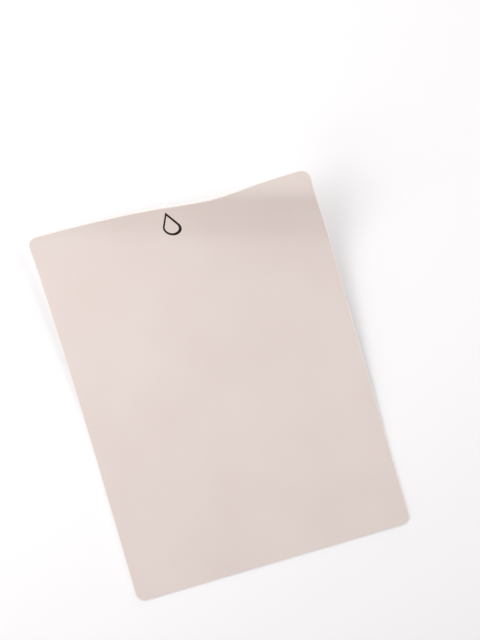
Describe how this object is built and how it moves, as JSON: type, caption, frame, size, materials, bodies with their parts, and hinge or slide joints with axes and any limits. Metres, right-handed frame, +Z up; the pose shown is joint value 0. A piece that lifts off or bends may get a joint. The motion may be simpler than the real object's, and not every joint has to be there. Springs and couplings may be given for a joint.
{
  "type": "flexible silicone sheet",
  "caption": "Thin, flexible, rounded rectangular silicone sheet with a pale backing rim and a small printed mark, one corner lifted in a bend.",
  "frame": {"origin": "middle of the sheet's outline, on the surface that it lies on", "axes": "+Y along the sheet towards its marked, lifted end; +X across it, towards the lifted corner; +Z up"},
  "size_m": [0.1502, 0.1998, 0.0391],
  "materials": {
    "face_silicone": "satin",
    "backing_silicone": "satin",
    "ink": "matte"
  },
  "bodies": {
    "near_panel": {"near_panel_base": "backing_silicone", "near_panel_face": "face_silicone"},
    "strip_1": {"strip_1_base": "backing_silicone", "strip_1_face": "face_silicone"},
    "strip_2": {"strip_2_base": "backing_silicone", "strip_2_face": "face_silicone"},
    "strip_3": {"strip_3_base": "backing_silicone", "strip_3_face": "face_silicone"},
    "strip_4": {"strip_4_base": "backing_silicone", "strip_4_face": "face_silicone"},
    "strip_5": {"strip_5_base": "backing_silicone", "strip_5_face": "face_silicone", "printed_mark": "ink"},
    "strip_6": {"strip_6_base": "backing_silicone", "strip_6_face": "face_silicone"},
    "corner_panel": {"corner_panel_base": "backing_silicone", "corner_panel_face": "face_silicone"}
  },
  "joints": [
    {"name": "middle_bend_1", "type": "hinge", "parent": "near_panel", "child": "strip_1", "pos_m": [-0.00865, -0.02663, 0.0015], "axis": [0.9511, -0.309, 0], "range_deg": [-4, 6]},
    {"name": "middle_bend_2", "type": "hinge", "parent": "strip_1", "child": "strip_2", "pos_m": [0.00214, 0.00658, 0.00394], "axis": [0.9511, -0.309, 0], "range_deg": [-2, 3]},
    {"name": "middle_bend_3", "type": "hinge", "parent": "strip_2", "child": "strip_3", "pos_m": [0.01136, 0.03495, 0.00708], "axis": [0.9511, -0.309, 0], "range_deg": [-2, 3]},
    {"name": "middle_bend", "type": "hinge", "parent": "strip_3", "child": "strip_4", "pos_m": [0.01809, 0.05567, 0.01014], "axis": [0.9511, -0.309, 0], "range_deg": [-8, 12]},
    {"name": "end_bend", "type": "hinge", "parent": "strip_4", "child": "strip_5", "pos_m": [0.02344, 0.07213, 0.0151], "axis": [0.9511, -0.309, 0], "range_deg": [-26, 16]},
    {"name": "end_bend_2", "type": "hinge", "parent": "strip_5", "child": "strip_6", "pos_m": [0.02757, 0.08485, 0.02714], "axis": [0.9511, -0.309, 0], "range_deg": [-10, 6.16]},
    {"name": "corner_bend", "type": "hinge", "parent": "strip_6", "child": "corner_panel", "pos_m": [0.03022, 0.093, 0.03568], "axis": [0.9511, -0.309, 0], "range_deg": [-24.62, 40]}
  ],
  "couplings": [
    {"joint": "middle_bend_1", "follows": "middle_bend", "ratio": 0.5},
    {"joint": "middle_bend_2", "follows": "middle_bend", "ratio": 0.25},
    {"joint": "middle_bend_3", "follows": "middle_bend", "ratio": 0.25},
    {"joint": "end_bend_2", "follows": "end_bend", "ratio": 0.38461},
    {"joint": "corner_bend", "follows": "end_bend", "ratio": -1.5385}
  ]
}
